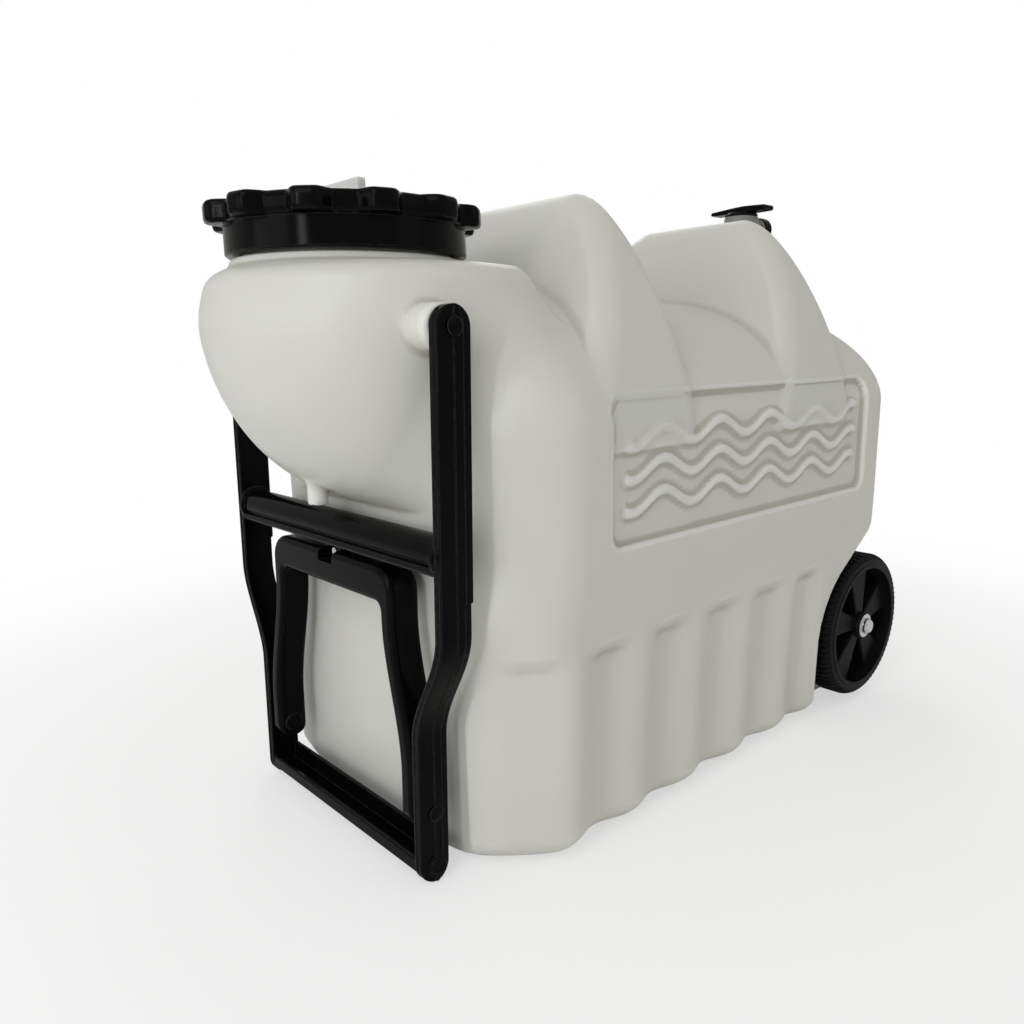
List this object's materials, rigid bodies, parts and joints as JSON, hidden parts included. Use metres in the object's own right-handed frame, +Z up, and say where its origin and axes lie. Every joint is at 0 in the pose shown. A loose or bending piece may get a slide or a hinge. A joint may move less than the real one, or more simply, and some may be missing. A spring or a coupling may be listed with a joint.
{
  "type": "rolling water container",
  "caption": "Humped milky water tank on wheels at one end, with a wide screw cap, a tap on the deck and a folding drag handle with a hinged grip.",
  "frame": {"origin": "centre of the container's outline on the ground, under the middle of the tank", "axes": "+X towards the wheels along the container's length, +Y across to its left seen from behind, +Z up"},
  "size_m": [0.4469, 0.2566, 0.3524],
  "materials": {
    "milky_polyethylene": "milky, slightly translucent, soft gloss",
    "black_plastic": "smooth black moulding",
    "pale_plastic": "natural white moulding",
    "grey_plastic": "satin grey moulding",
    "seal_rubber": "soft black rubber",
    "axle_steel": "zinc-plated",
    "bright_steel": "bright plated"
  },
  "bodies": {
    "tank": {"tank": "milky_polyethylene", "tap_seal": "seal_rubber", "tap_body": "grey_plastic", "tap_collar": "black_plastic", "tap_spout_nut": "black_plastic", "handle_washer_left": "axle_steel", "handle_washer_right": "axle_steel", "handle_pin_left": "black_plastic", "handle_pin_right": "black_plastic", "axle": "axle_steel", "axle_washer_left": "axle_steel", "axle_washer_right": "axle_steel", "push_nut_left": "bright_steel", "push_nut_right": "bright_steel"},
    "gasket": {"cap_gasket": "seal_rubber"},
    "cap": {"filler_cap": "black_plastic"},
    "vent": {"vent_plug": "pale_plastic", "vent_seal": "seal_rubber"},
    "tap_handle": {"tap_lever": "black_plastic"},
    "handle": {"handle_frame": "black_plastic", "grip_catch": "pale_plastic", "grip_pin_left": "black_plastic", "grip_pin_right": "black_plastic"},
    "grip": {"grip_loop": "black_plastic"},
    "wheel_l": {"wheel_left": "black_plastic"},
    "wheel_r": {"wheel_right": "black_plastic"}
  },
  "joints": [
    {"name": "cap_lift", "type": "slide", "parent": "tank", "child": "gasket", "axis": [0, 0, 1], "range_m": [0, 0.01805]},
    {"name": "cap_turn", "type": "hinge", "parent": "gasket", "child": "cap", "pos_m": [-0.1525, 0, 0.3], "axis": [0, 0, 1], "range_deg": [0, 1080]},
    {"name": "vent_turn", "type": "hinge", "parent": "cap", "child": "vent", "pos_m": [-0.1525, 0, 0.325], "axis": [0, 0, 1], "range_deg": [0, 90]},
    {"name": "tap_turn", "type": "hinge", "parent": "tank", "child": "tap_handle", "pos_m": [0.1832, 0, 0.346], "axis": [0, 0, 1], "range_deg": [0, 90]},
    {"name": "handle_swing", "type": "hinge", "parent": "tank", "child": "handle", "pos_m": [-0.1662, 0, 0.262], "axis": [0, 1, 0], "range_deg": [0, 150]},
    {"name": "grip_swing", "type": "hinge", "parent": "handle", "child": "grip", "pos_m": [-0.17367, 0, 0.03662], "axis": [0, -1, 0], "range_deg": [0, 100]},
    {"name": "wheel_left_roll", "type": "hinge", "parent": "tank", "child": "wheel_l", "pos_m": [0.172, -0.11225, 0.056], "axis": [0, 1, 0], "continuous": true},
    {"name": "wheel_right_roll", "type": "hinge", "parent": "tank", "child": "wheel_r", "pos_m": [0.172, 0.11225, 0.056], "axis": [0, 1, 0], "continuous": true}
  ],
  "couplings": [
    {"joint": "cap_lift", "follows": "cap_turn", "m_per_rad": 0.00095493}
  ]
}
